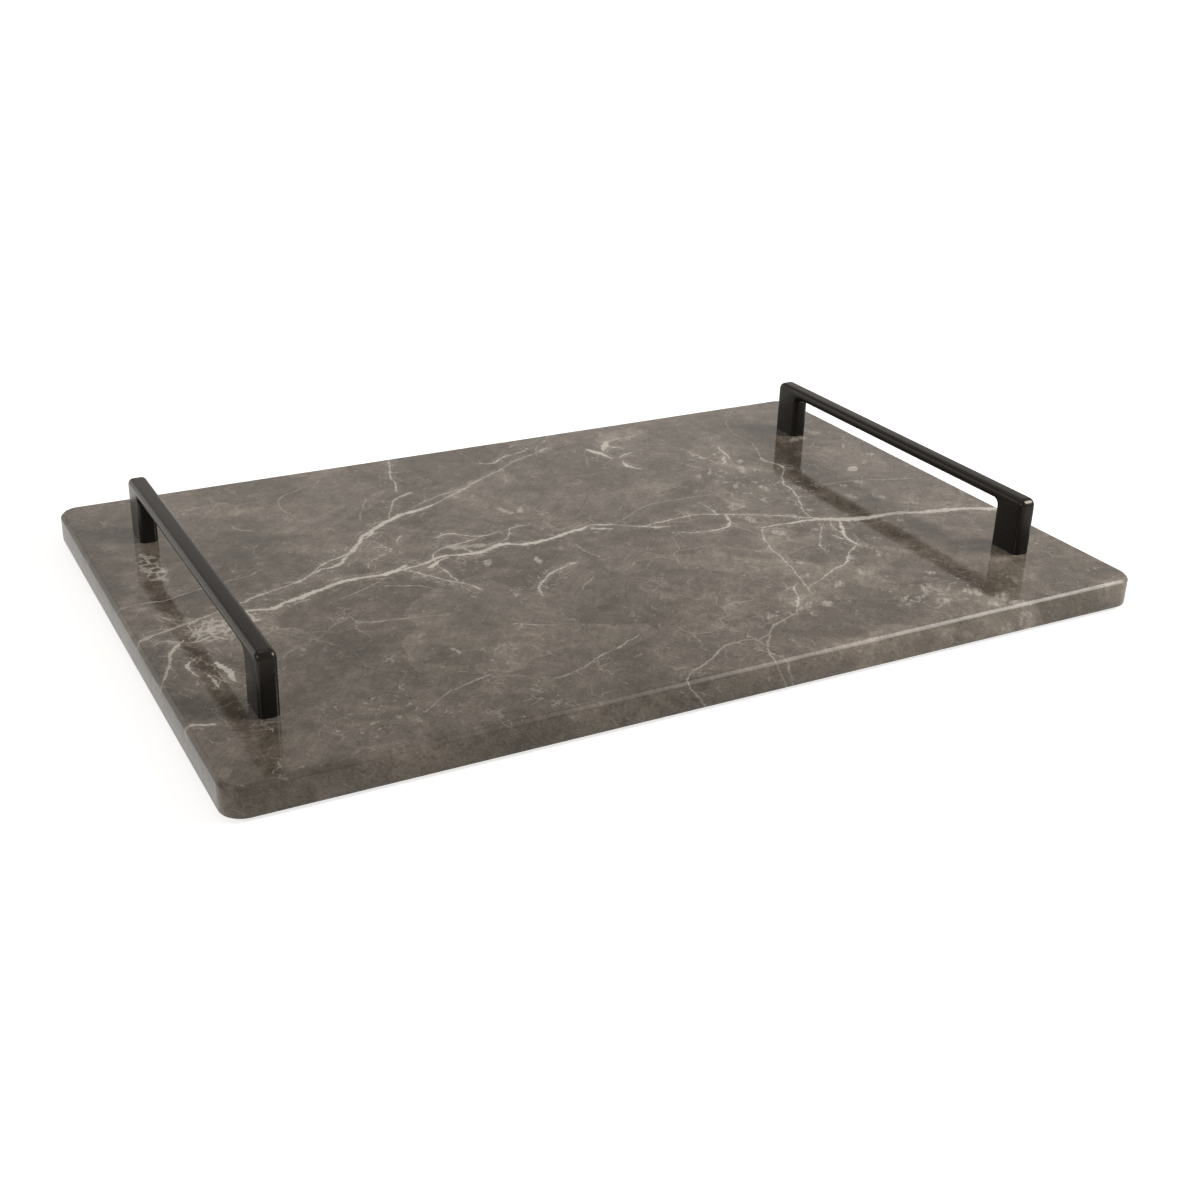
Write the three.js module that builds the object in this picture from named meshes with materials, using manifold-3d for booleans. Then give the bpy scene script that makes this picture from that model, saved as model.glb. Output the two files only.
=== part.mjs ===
// Rectangular stone serving tray with a bar handle screwed across each short end.
// Millimetres, +Z up. The origin is on the table, under the middle of the tray.
// X runs along the tray from handle to handle, and Y runs from front to back.

import * as THREE from 'three';
import { mergeVertices } from 'three/addons/utils/BufferGeometryUtils.js';
import Module from 'manifold-3d';

// Stone slab
const slabLength = 450;
const slabWidth = 300;
const slabThickness = 14;
const slabCornerRadius = 10;
const slabTopChamfer = 1.6;
const slabBottomArris = 0.5;

// Bar handles: a rail on two posts, in one piece
const handleHoleSpacing = 192;
const handleFromSlabEnd = 32.5;
const handleHeight = 28.8;
const handleWidth = 9;
const railThickness = 5.7;
const postLength = 18.7;
const handleEndRadius = 4;
const fingerGapFillet = 3;
const handleEdgeRounding = 2.6;

// Screws, from below into the posts
const screwDiameter = 4;
const screwReachIntoPost = 11;
const screwTipChamfer = 0.6;
const screwHeadDiameter = 8;
const screwHeadHeight = 3;
const screwHeadRounding = 1.2;
const driveSlotLength = 4.4;
const driveSlotWidth = 1.1;
const driveSlotDepth = 1.6;

// Washers, at the top of the counterbores
const washerDiameter = 9;
const washerThickness = 0.8;

// Holes and their clearances
const counterboreDepth = 6;
const counterboreClearance = 1.5;
const slabHoleClearance = 0.5;
const postHoleClearance = 0.3;
const postHoleEndClearance = 1.5;
const washerBoreClearance = 0.25;

// Rubber feet
const footDiameter = 14;
const footTopDiameter = 12.6;
const footHeight = 2;
const footEdgeRounding = 0.5;
const footFromSlabEnd = 32;
const footFromSlabSide = 24;

// Facets: steps in a quarter turn of a plan corner, in a rounded edge, and round a turned piece
const cornerSteps = 8;
const edgeSteps = 4;
const turnedSides = 28;

// Levels and places that follow from the sizes above
const slabBottomLevel = footHeight;
const slabTopLevel = slabBottomLevel + slabThickness;
const washerSeatLevel = slabBottomLevel + counterboreDepth;
const screwSeatLevel = washerSeatLevel - washerThickness;
const handleX = slabLength / 2 - handleFromSlabEnd;
const screwY = handleHoleSpacing / 2;
const ends = [{ name: 'left', side: -1 }, { name: 'right', side: 1 }];
const sides = [{ name: 'front', side: -1 }, { name: 'back', side: 1 }];

const wasm = await Module();
wasm.setup();

// A closed geometry as a solid for cutting. Triangles that a merge has flattened are left out.
function solidFrom(geometry) {
  const bare = geometry.clone();
  bare.deleteAttribute('normal');
  bare.deleteAttribute('uv');
  const merged = mergeVertices(bare, 1e-4);
  const corners = merged.index.array;
  const kept = [];
  for (let i = 0; i < corners.length; i += 3) {
    const [a, b, c] = [corners[i], corners[i + 1], corners[i + 2]];
    if (a !== b && b !== c && c !== a) kept.push(a, b, c);
  }
  return new wasm.Manifold(new wasm.Mesh({
    numProp: 3,
    vertProperties: new Float32Array(merged.attributes.position.array),
    triVerts: new Uint32Array(kept),
  }));
}

function geometryFrom(solid) {
  const mesh = solid.getMesh();
  const geometry = new THREE.BufferGeometry();
  geometry.setAttribute('position', new THREE.BufferAttribute(mesh.vertProperties, 3));
  geometry.setIndex(new THREE.BufferAttribute(mesh.triVerts, 1));
  return geometry;
}

// A turned piece, from its profile as [radius, height] pairs, standing along Z
function turned(profile) {
  const points = profile.map(([radius, height]) => new THREE.Vector2(radius, height));
  return new THREE.LatheGeometry(points, turnedSides).rotateX(Math.PI / 2);
}

// A round cutter standing along Z, between two levels
function roundCutter(diameter, fromLevel, toLevel) {
  const height = toLevel - fromLevel;
  const cylinder = new THREE.CylinderGeometry(diameter / 2, diameter / 2, height, turnedSides);
  return cylinder.rotateX(Math.PI / 2).translate(0, 0, (fromLevel + toLevel) / 2);
}

// Profile points of a quarter-round edge, from one angle to another about a centre
function quarterRound(radius, centreRadius, centreHeight, fromAngle, toAngle) {
  const points = [];
  for (let step = 0; step <= edgeSteps; step += 1) {
    const angle = fromAngle + (toAngle - fromAngle) * step / edgeSteps;
    points.push([centreRadius + radius * Math.cos(angle), centreHeight + radius * Math.sin(angle)]);
  }
  return points;
}

function roundedRectangle(length, width, radius) {
  const x = length / 2;
  const y = width / 2;
  const shape = new THREE.Shape();
  shape.moveTo(-x + radius, -y);
  shape.lineTo(x - radius, -y);
  shape.absarc(x - radius, -y + radius, radius, -Math.PI / 2, 0);
  shape.lineTo(x, y - radius);
  shape.absarc(x - radius, y - radius, radius, 0, Math.PI / 2);
  shape.lineTo(-x + radius, y);
  shape.absarc(-x + radius, y - radius, radius, Math.PI / 2, Math.PI);
  shape.lineTo(-x, -y + radius);
  shape.absarc(-x + radius, -y + radius, radius, Math.PI, Math.PI * 1.5);
  return shape;
}

// The slab's plan, from one level to another, with both of its flat ends chamfered
function chamferedPlate(chamfer, fromLevel, toLevel) {
  const plan = roundedRectangle(slabLength, slabWidth, slabCornerRadius);
  return new THREE.ExtrudeGeometry(plan, {
    depth: toLevel - fromLevel - 2 * chamfer,
    curveSegments: cornerSteps,
    bevelEnabled: true,
    bevelThickness: chamfer,
    bevelSize: chamfer,
    bevelOffset: -chamfer,
    bevelSegments: 1,
  }).translate(0, 0, fromLevel + chamfer);
}

// Slab: the top edge has the wide chamfer and the bottom edge the fine arris, so two plates that
// each run past the other's far face are intersected. Every screw has a hole with a counterbore.
function slabGeometry() {
  const chamferedTop = chamferedPlate(slabTopChamfer, slabBottomLevel - slabThickness, slabTopLevel);
  const easedBottom = chamferedPlate(slabBottomArris, slabBottomLevel, slabTopLevel + slabThickness);
  let slab = solidFrom(chamferedTop).intersect(solidFrom(easedBottom));
  const holeDiameter = screwDiameter + 2 * slabHoleClearance;
  const counterboreDiameter = washerDiameter + 2 * counterboreClearance;
  const hole = roundCutter(holeDiameter, slabBottomLevel, slabTopLevel + slabThickness);
  const counterbore = roundCutter(counterboreDiameter, slabBottomLevel - slabThickness, washerSeatLevel);
  const cutter = solidFrom(hole).add(solidFrom(counterbore));
  for (const end of ends) {
    for (const side of sides) {
      slab = slab.subtract(cutter.translate([end.side * handleX, side.side * screwY, 0]));
    }
  }
  return geometryFrom(slab);
}

// Handle: its outline seen along X is extruded across its width with rounded edges. The outline runs
// on below the feet, past the rounding, and is cut off flat there. Each post has a blind screw hole.
function handleGeometry() {
  const outer = handleHoleSpacing / 2 + postLength / 2;
  const inner = handleHoleSpacing / 2 - postLength / 2;
  const underside = handleHeight - railThickness;
  const below = -2 * handleEdgeRounding;
  const outline = new THREE.Shape();
  outline.moveTo(outer, below);
  outline.lineTo(outer, handleHeight - handleEndRadius);
  outline.absarc(outer - handleEndRadius, handleHeight - handleEndRadius, handleEndRadius, 0, Math.PI / 2);
  outline.lineTo(-outer + handleEndRadius, handleHeight);
  outline.absarc(-outer + handleEndRadius, handleHeight - handleEndRadius, handleEndRadius,
    Math.PI / 2, Math.PI);
  outline.lineTo(-outer, below);
  outline.lineTo(-inner, below);
  outline.lineTo(-inner, underside - fingerGapFillet);
  outline.absarc(-inner + fingerGapFillet, underside - fingerGapFillet, fingerGapFillet,
    Math.PI, Math.PI / 2, true);
  outline.lineTo(inner - fingerGapFillet, underside);
  outline.absarc(inner - fingerGapFillet, underside - fingerGapFillet, fingerGapFillet,
    Math.PI / 2, 0, true);
  outline.lineTo(inner, below);
  const body = new THREE.ExtrudeGeometry(outline, {
    depth: handleWidth - 2 * handleEdgeRounding,
    curveSegments: cornerSteps,
    bevelEnabled: true,
    bevelThickness: handleEdgeRounding,
    bevelSize: handleEdgeRounding,
    bevelOffset: -handleEdgeRounding,
    bevelSegments: edgeSteps,
  });
  body.translate(0, 0, handleEdgeRounding - handleWidth / 2);
  body.rotateX(Math.PI / 2).rotateZ(Math.PI / 2);
  const cutDepth = 2 * Math.abs(below);
  const belowFeet = new THREE.BoxGeometry(2 * handleWidth, 4 * outer, cutDepth);
  belowFeet.translate(0, 0, -cutDepth / 2);
  let handle = solidFrom(body).subtract(solidFrom(belowFeet));
  const holeDepth = screwReachIntoPost + postHoleEndClearance;
  const screwHole = solidFrom(roundCutter(screwDiameter + 2 * postHoleClearance, -holeDepth, holeDepth));
  for (const side of sides) {
    handle = handle.subtract(screwHole.translate([0, side.side * screwY, 0]));
  }
  return geometryFrom(handle);
}

// Screw: a pan head with a cross recess at the bottom, and a shank that reaches up into the post
function screwGeometry() {
  const shank = screwDiameter / 2;
  const headRadius = screwHeadDiameter / 2;
  const tipLevel = slabTopLevel + screwReachIntoPost - screwSeatLevel;
  const roundingCentre = headRadius - screwHeadRounding;
  const headEdge = quarterRound(screwHeadRounding, roundingCentre, screwHeadRounding - screwHeadHeight,
    -Math.PI / 2, 0);
  const body = turned([
    [0, -screwHeadHeight],
    ...headEdge,
    [headRadius, 0],
    [shank, 0],
    [shank, tipLevel - screwTipChamfer],
    [shank - screwTipChamfer, tipLevel],
    [0, tipLevel],
  ]);
  let screw = solidFrom(body);
  for (const quarterTurn of [0, 1]) {
    const slot = new THREE.BoxGeometry(driveSlotLength, driveSlotWidth, 2 * driveSlotDepth);
    slot.rotateZ(quarterTurn * Math.PI / 2).translate(0, 0, -screwHeadHeight);
    screw = screw.subtract(solidFrom(slot));
  }
  return geometryFrom(screw);
}

// Washer: a flat ring, lying on the screw's head
function washerGeometry() {
  const bore = screwDiameter / 2 + washerBoreClearance;
  const rim = washerDiameter / 2;
  return turned([[bore, 0], [rim, 0], [rim, washerThickness], [bore, washerThickness], [bore, 0]]);
}

// Foot: a low disc, a little wider at the table than at the stone, with a rounded bottom edge
function footGeometry() {
  const bottom = footDiameter / 2;
  const edge = quarterRound(footEdgeRounding, bottom - footEdgeRounding, footEdgeRounding, -Math.PI / 2, 0);
  return turned([[0, 0], ...edge, [footTopDiameter / 2, footHeight], [0, footHeight]]);
}

const marble = { color: 0x675e56, roughness: 0.22, metalness: 0 };
const blackCoating = { color: 0x131313, roughness: 0.42, metalness: 0.1 };
const zincPlate = { color: 0xb9bcc0, roughness: 0.35, metalness: 1 };
const rubber = { color: 0x1b1b1c, roughness: 0.9, metalness: 0 };

const tray = new THREE.Group();

function place(name, geometry, finish, x, y, z) {
  const mesh = new THREE.Mesh(geometry, new THREE.MeshStandardMaterial(finish));
  mesh.name = name;
  mesh.position.set(x, y, z);
  tray.add(mesh);
}

place('marble_slab', slabGeometry(), marble, 0, 0, 0);
for (const end of ends) {
  const x = end.side * handleX;
  place(`handle_${end.name}`, handleGeometry(), blackCoating, x, 0, slabTopLevel);
  for (const side of sides) {
    const y = side.side * screwY;
    const footX = end.side * (slabLength / 2 - footFromSlabEnd);
    const footY = side.side * (slabWidth / 2 - footFromSlabSide);
    const corner = `${end.name}_${side.name}`;
    place(`handle_screw_${corner}`, screwGeometry(), zincPlate, x, y, screwSeatLevel);
    place(`screw_washer_${corner}`, washerGeometry(), zincPlate, x, y, screwSeatLevel);
    place(`rubber_foot_${corner}`, footGeometry(), rubber, footX, footY, 0);
  }
}

export default tray;
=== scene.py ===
"""A polished marble serving tray with a black bar handle across each short end, dressed over its solids."""

import math

import bpy
from mathutils import Matrix, Vector, noise
from mathutils.geometry import delaunay_2d_cdt


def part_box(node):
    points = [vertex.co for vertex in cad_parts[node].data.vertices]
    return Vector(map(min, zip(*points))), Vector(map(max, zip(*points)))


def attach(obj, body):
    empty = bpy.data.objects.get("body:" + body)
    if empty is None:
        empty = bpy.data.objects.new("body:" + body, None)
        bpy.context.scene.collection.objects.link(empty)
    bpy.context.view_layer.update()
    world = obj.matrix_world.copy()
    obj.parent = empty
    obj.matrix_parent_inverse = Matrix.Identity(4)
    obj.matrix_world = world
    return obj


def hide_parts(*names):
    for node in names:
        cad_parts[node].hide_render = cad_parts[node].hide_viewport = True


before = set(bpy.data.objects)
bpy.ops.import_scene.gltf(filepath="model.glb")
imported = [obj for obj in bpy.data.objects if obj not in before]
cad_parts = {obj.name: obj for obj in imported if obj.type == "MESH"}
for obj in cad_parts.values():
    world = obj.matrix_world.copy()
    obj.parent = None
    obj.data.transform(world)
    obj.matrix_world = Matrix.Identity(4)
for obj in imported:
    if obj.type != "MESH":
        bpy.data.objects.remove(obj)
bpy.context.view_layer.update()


# Marble slab.
# One plate of grey-brown veined marble, sawn to size, with rounded corners. The top is polished, the
# sides are honed, a chamfer is ground round the top edge, and four screw holes are counterbored from below.

MM = 0.001
slab_low, slab_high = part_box("marble_slab")
slab_length = (slab_high[0] - slab_low[0]) / MM
slab_width = (slab_high[1] - slab_low[1]) / MM
slab_bottom = slab_low[2] / MM
slab_top = slab_high[2] / MM
slab_middle = (slab_bottom + slab_top) / 2
slab_corner_radius = 10
slab_chamfer = 1.6
slab_arris = 0.5
screw_spacing_x, screw_spacing_y = 385, 192
screw_hole_radius, counterbore_radius, counterbore_depth = 2.5, 6, 6


def slab_plan(inset, corner_steps=14, long_steps=290, short_steps=190):
    """The slab's plan drawn in by an inset, as a closed ring of points in millimetres."""
    radius = slab_corner_radius - inset
    reach_x = slab_length / 2 - slab_corner_radius
    reach_y = slab_width / 2 - slab_corner_radius
    ring = []
    for quarter, (sx, sy) in enumerate(((1, 1), (-1, 1), (-1, -1), (1, -1))):
        for step in range(corner_steps + 1):
            angle = math.pi / 2 * (quarter + step / corner_steps)
            ring.append((sx * reach_x + radius * math.cos(angle), sy * reach_y + radius * math.sin(angle)))
        here, (nx, ny) = ring[-1], ((-1, 1), (-1, -1), (1, -1), (1, 1))[quarter]
        turn = math.pi / 2 * (quarter + 1)
        there = (nx * reach_x + radius * math.cos(turn), ny * reach_y + radius * math.sin(turn))
        steps = long_steps if quarter % 2 == 0 else short_steps
        for step in range(1, steps):
            share = step / steps
            ring.append((here[0] + (there[0] - here[0]) * share, here[1] + (there[1] - here[1]) * share))
    return ring


# The edge from the underside up to the polished face, as (inset, height, how much the hand grinding wanders).
chamfer_foot = slab_top - slab_chamfer
slab_edge = [
    (slab_arris, slab_bottom, 0),
    (0.14, slab_bottom + 0.14, 0.05),
    (0, slab_bottom + slab_arris, 0.03),
    (0, chamfer_foot - 0.25, 0.03),
    (0.07, chamfer_foot + 0.02, 0.14),
    (0.5, chamfer_foot + 0.5, 0.12),
    (1.05, chamfer_foot + 1.05, 0.12),
    (1.55, slab_top - 0.1, 0.14),
    (1.75, slab_top - 0.02, 0.12),
    (2.1, slab_top, 0),
]
# The grinding wanders in slow waves, with a chip here and there, and sags where it is drawn in.
wave_scale, chip_scale, chip_seed, chip_threshold = 0.06, 0.55, 7, 0.25
wave_share, chip_share, steady_share, sag_share = 0.5, 2.2, 0.3, 0.4
slab_points, slab_faces, slab_finishes = [], [], []
for inset, height, wander in slab_edge:
    for x, y in slab_plan(inset):
        wave = noise.noise(Vector((x * wave_scale, y * wave_scale, inset)))
        chip = max(0, noise.noise(Vector((x * chip_scale, y * chip_scale, chip_seed + inset))) - chip_threshold)
        drawn_in = wander * (wave_share * wave + chip_share * chip + steady_share)
        scale = 1 - drawn_in / math.hypot(x, y)
        sag = sag_share * drawn_in if height > slab_middle else 0
        slab_points.append((x * scale, y * scale, height - sag))
ring_size = len(slab_plan(0))
POLISHED, GROUND, HONED, SAWN = range(4)
band_finish = [HONED] * 3 + [GROUND] * 5 + [POLISHED]
for band, finish in enumerate(band_finish):
    for i in range(ring_size):
        j = (i + 1) % ring_size
        a, b = band * ring_size, (band + 1) * ring_size
        slab_faces.append((a + i, a + j, b + j, b + i))
        slab_finishes.append(finish)

hole_sides = 40
hole_centres = [(sx * screw_spacing_x / 2, sy * screw_spacing_y / 2) for sx in (-1, 1) for sy in (-1, 1)]
hole_profile = [
    (counterbore_radius, slab_bottom), (counterbore_radius, slab_bottom + counterbore_depth),
    (screw_hole_radius, slab_bottom + counterbore_depth), (screw_hole_radius, slab_top)]
hole_mouths = {slab_bottom: [], slab_top: []}
for cx, cy in hole_centres:
    rings = []
    for radius, height in hole_profile:
        first = len(slab_points)
        for i in range(hole_sides):
            angle = 2 * math.pi * i / hole_sides
            slab_points.append((cx + radius * math.cos(angle), cy + radius * math.sin(angle), height))
        rings.append(list(range(first, first + hole_sides)))
    for low, high in zip(rings, rings[1:]):
        for i in range(hole_sides):
            j = (i + 1) % hole_sides
            slab_faces.append((low[j], low[i], high[i], high[j]))
            slab_finishes.append(SAWN)
    hole_mouths[slab_bottom].append(rings[0])
    hole_mouths[slab_top].append(rings[-1])

# The flat faces below and above, filled with triangles round the mouths of the holes.
first_cap = len(slab_faces)
inside_loops, merge_distance = 4, 1e-6
for level, edge_ring, mouth_radius, finish in (
        (slab_bottom, 0, counterbore_radius, SAWN),
        (slab_top, len(slab_edge) - 1, screw_hole_radius, POLISHED)):
    loops = [list(range(edge_ring * ring_size, (edge_ring + 1) * ring_size))] + hole_mouths[level]
    cap_points = [index for loop in loops for index in loop]
    links, start = [], 0
    for loop in loops:
        links += [(start + i, start + (i + 1) % len(loop)) for i in range(len(loop))]
        start += len(loop)
    flat = [Vector(slab_points[index][:2]) for index in cap_points]
    for triangle in delaunay_2d_cdt(flat, links, [], inside_loops, merge_distance)[2]:
        a, b, c = (flat[i] for i in triangle)
        if any(((a + b + c) / 3 - Vector(centre)).length < mouth_radius for centre in hole_centres):
            continue
        upward = (b - a).cross(c - a) > 0
        order = triangle if upward == (level == slab_top) else triangle[::-1]
        slab_faces.append(tuple(cap_points[i] for i in order))
        slab_finishes.append(finish)


def solid_piece(name, points, faces, finishes, materials, sharp_degrees):
    """A mesh object from points in millimetres, with one material index for each face."""
    mesh = bpy.data.meshes.new(name)
    mesh.from_pydata([tuple(c * MM for c in point) for point in points], [], faces)
    for material in materials:
        mesh.materials.append(material)
    mesh.polygons.foreach_set("material_index", finishes)
    mesh.shade_smooth()
    mesh.set_sharp_from_angle(angle=math.radians(sharp_degrees))
    mesh.validate()
    piece = bpy.data.objects.new(name, mesh)
    bpy.context.collection.objects.link(piece)
    return piece


def feed(node, inputs):
    """Gives a node's inputs their constants, or links them to other nodes' outputs."""
    for key, value in dict(inputs).items():
        if isinstance(value, bpy.types.NodeSocket):
            node.id_data.links.new(value, node.inputs[key])
        else:
            node.inputs[key].default_value = value


def add(tree, kind, inputs=(), **settings):
    """One new node with its settings and inputs."""
    made = tree.nodes.new(kind)
    for key, value in settings.items():
        setattr(made, key, value)
    feed(made, inputs)
    return made


def follow(kind, inputs, **settings):
    """One new node in the tree of the outputs that feed it."""
    fed = next(value for value in inputs.values() if isinstance(value, bpy.types.NodeSocket))
    return add(fed.id_data, kind, inputs, **settings)


def calc(operation, a, b=0.0, c=0.0):
    return follow("ShaderNodeMath", {0: a, 1: b, 2: c}, operation=operation).outputs[0]


def layered(operation, *values):
    """Several values joined one after another by one operation."""
    field = values[0]
    for value in values[1:]:
        field = calc(operation, field, value)
    return field


def times(*values):
    return layered("MULTIPLY", *values)


def plus(*values):
    return layered("ADD", *values)


def swing(value, reach):
    """A noise moved so that it swings evenly about nought."""
    return calc("MULTIPLY_ADD", value, reach, -reach / 2)


def shift(operation, a, b):
    return follow("ShaderNodeVectorMath", {0: a, 1: b}, operation=operation).outputs[0]


def measure(operation, a, b):
    return follow("ShaderNodeVectorMath", {0: a, 1: b}, operation=operation).outputs["Value"]


def ease(value, low, high, to_low=0.0, to_high=1.0):
    """A smooth step from one level to another."""
    return follow("ShaderNodeMapRange", {
        "Value": value, "From Min": low, "From Max": high, "To Min": to_low, "To Max": to_high,
    }, interpolation_type="SMOOTHSTEP").outputs[0]


def blend(share, a, b, blend_type="MIX"):
    return follow("ShaderNodeMix", {0: share, 6: a, 7: b}, data_type="RGBA", blend_type=blend_type).outputs[2]


def cloud(place, scale, detail=3.0, roughness=0.55):
    """A noise, with its scale in features for each unit of the place."""
    return follow("ShaderNodeTexNoise", {
        "Vector": place, "Scale": scale, "Detail": detail, "Roughness": roughness}).outputs[0]


def drawn_curve(value, points, handle):
    """A float curve through given points, level past both of its ends."""
    made = follow("ShaderNodeFloatCurve", {"Value": value})
    made.mapping.use_clip = False
    made.mapping.extend = "HORIZONTAL"
    curve = made.mapping.curves[0]
    curve.points[0].location, curve.points[1].location = points[0], points[-1]
    for x, y in points[1:-1]:
        curve.points.new(x, y)
    for point in curve.points:
        point.handle_type = handle
    made.mapping.update()
    return made.outputs[0]


def vein(place, course, run_out=6, outside=-8):
    """How far a point lies inside a vein, in millimetres. The course is (x, y, width) on the top face."""
    x0, y0, _ = course[0]
    x1, y1, _ = course[-1]
    length = math.hypot(x1 - x0, y1 - y0)
    ax, ay = (x1 - x0) / length, (y1 - y0) / length
    along = [x * ax + y * ay for x, y, _ in course]
    across = [y * ax - x * ay for x, y, _ in course]
    half_widths = [width / 2 for _, _, width in course]
    run = measure("DOT_PRODUCT", place, (ax, ay, 0))
    side = measure("DOT_PRODUCT", place, (-ay, ax, 0))
    middle = drawn_curve(run, list(zip(along, across)), "AUTO")
    off_middle = calc("ABSOLUTE", calc("SUBTRACT", side, middle))
    width_points = [(along[0] - run_out, outside), *zip(along, half_widths), (along[-1] + run_out, outside)]
    return calc("SUBTRACT", drawn_curve(run, width_points, "VECTOR"), off_middle)


def veins(place, courses):
    field = vein(place, courses[0])
    for course in courses[1:]:
        field = calc("MAXIMUM", field, vein(place, course))
    return field


def spots(place, listed):
    """How far a point lies inside any of some oval spots, given as (x, y, length, width, angle in degrees)."""
    by_angle = {}
    for x, y, length, width, angle in listed:
        by_angle.setdefault(angle, []).append((x, y, length, width))
    nearest = None
    for angle, ovals in by_angle.items():
        c, s = math.cos(math.radians(angle)), math.sin(math.radians(angle))
        along = measure("DOT_PRODUCT", place, (c, s, 0))
        across = measure("DOT_PRODUCT", place, (-s, c, 0))
        aligned = follow("ShaderNodeCombineXYZ", {0: along, 1: across}).outputs[0]
        for x, y, length, width in ovals:
            scaled = shift("MULTIPLY", aligned, (2 / length, 2 / width, 0))
            centre = ((x * c + y * s) * 2 / length, (y * c - x * s) * 2 / width, 0)
            size = measure("DISTANCE", scaled, centre)
            nearest = size if nearest is None else calc("MINIMUM", nearest, size)
    return calc("SUBTRACT", 1.0, nearest)


# Veins as they run over the top face: (x, y, width) in millimetres from the middle of the tray.
white_veins = [
    [(-174, -7.5, 1.4), (-168, -8, 3), (-162, -10.4, 2.4), (-155, -6.6, 2.6), (-145, -3.6, 2.8), (-136, -0.4, 2.6),
     (-127, 3.2, 2.6), (-119, 5, 2.2), (-110, 4.2, 2), (-103, 3.4, 2.8), (-97, 4.6, 2.4), (-90, 5.9, 1.6),
     (-85, 6.4, 1.4), (-79, 8, 1.6), (-74, 10.5, 1.8), (-68, 11.5, 1.8), (-60, 10, 2), (-52, 8.8, 2.8),
     (-45, 10.5, 3), (-38, 13.1, 3.2), (-33, 12, 3), (-28, 9.3, 3), (-21, 8.6, 2.8), (-12, 9.4, 2.6),
     (0.6, 12.8, 2.6), (9.4, 15, 2.2), (14, 17.4, 0.8)],
    [(-101, 3.6, 1.2), (-95, 6.4, 1.8), (-91, 8.4, 1.8), (-88.4, 9.7, 0.8)],
    [(-80.5, 2.2, 0.8), (-78, 3, 2.2), (-74, 6.2, 1.5), (-67, 9.6, 1)],
    [(13, 12.6, 1.2), (17.5, 10.4, 2), (23, 8, 0.8)],
    [(93, -22.2, 0.8), (108, -22.8, 1.4), (120, -24, 1.6), (127, -25.4, 3), (135, -28.8, 4.4), (141, -31.8, 4.6),
     (148, -33.2, 4.4), (155, -34.4, 4.2), (164, -34.6, 3.2), (172, -35.6, 3.4), (179, -39, 2.8), (188, -41.4, 4),
     (195, -42.6, 4.4), (204, -44, 3), (213, -48, 2.6), (218, -51, 4.6), (226, -54, 5)],
    [(137, -31, 1.4), (133, -36, 2.2), (129.5, -42.6, 2), (126.6, -48, 1.8), (125, -55, 1.6), (125.4, -60, 0.9)],
    [(-121, 29.3, 1.2), (-112, 32, 1.4), (-108, 34.6, 2.6), (-105, 38.4, 2.8), (-102, 41.8, 2.2), (-98, 46, 2),
     (-95.5, 51.2, 1.8), (-90, 54.8, 2), (-84, 59.2, 2.6), (-78, 63.6, 2.2), (-73, 66.6, 2.4), (-67, 69.8, 3.2),
     (-60, 71.4, 3.4), (-53, 73.4, 2.6), (-46, 76, 1.4)],
    [(-128, 21.4, 0.8), (-121, 21.8, 1.6), (-117.5, 23.4, 3), (-113.5, 27.4, 1.8), (-108.5, 34, 1.4)],
    [(-97, 47.6, 1), (-91.5, 51, 1.8), (-88, 55.4, 1.2)],
    [(66.5, 118, 1.6), (68.2, 112.5, 3.6), (70.2, 108, 3.4), (71.2, 103, 2.4), (73.4, 98, 0.8)],
    [(76.4, 92, 0.8), (75.2, 87.5, 2.6), (75.4, 83, 2.8), (79, 77, 0.6)],
    [(73.6, 111, 0.8), (76.2, 115, 3), (79, 118.4, 4.2), (81.4, 122.4, 3), (85, 125.2, 1.8), (89.6, 126.6, 0.6)],
    [(78, 118, 2), (81, 115.6, 1.6), (84, 113.6, 0.6)],
    [(-199, -50, 1.4), (-197.6, -55, 2.4), (-196, -61, 3.6), (-196.6, -65, 2.6), (-196.4, -70, 0.8)],
]
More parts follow.
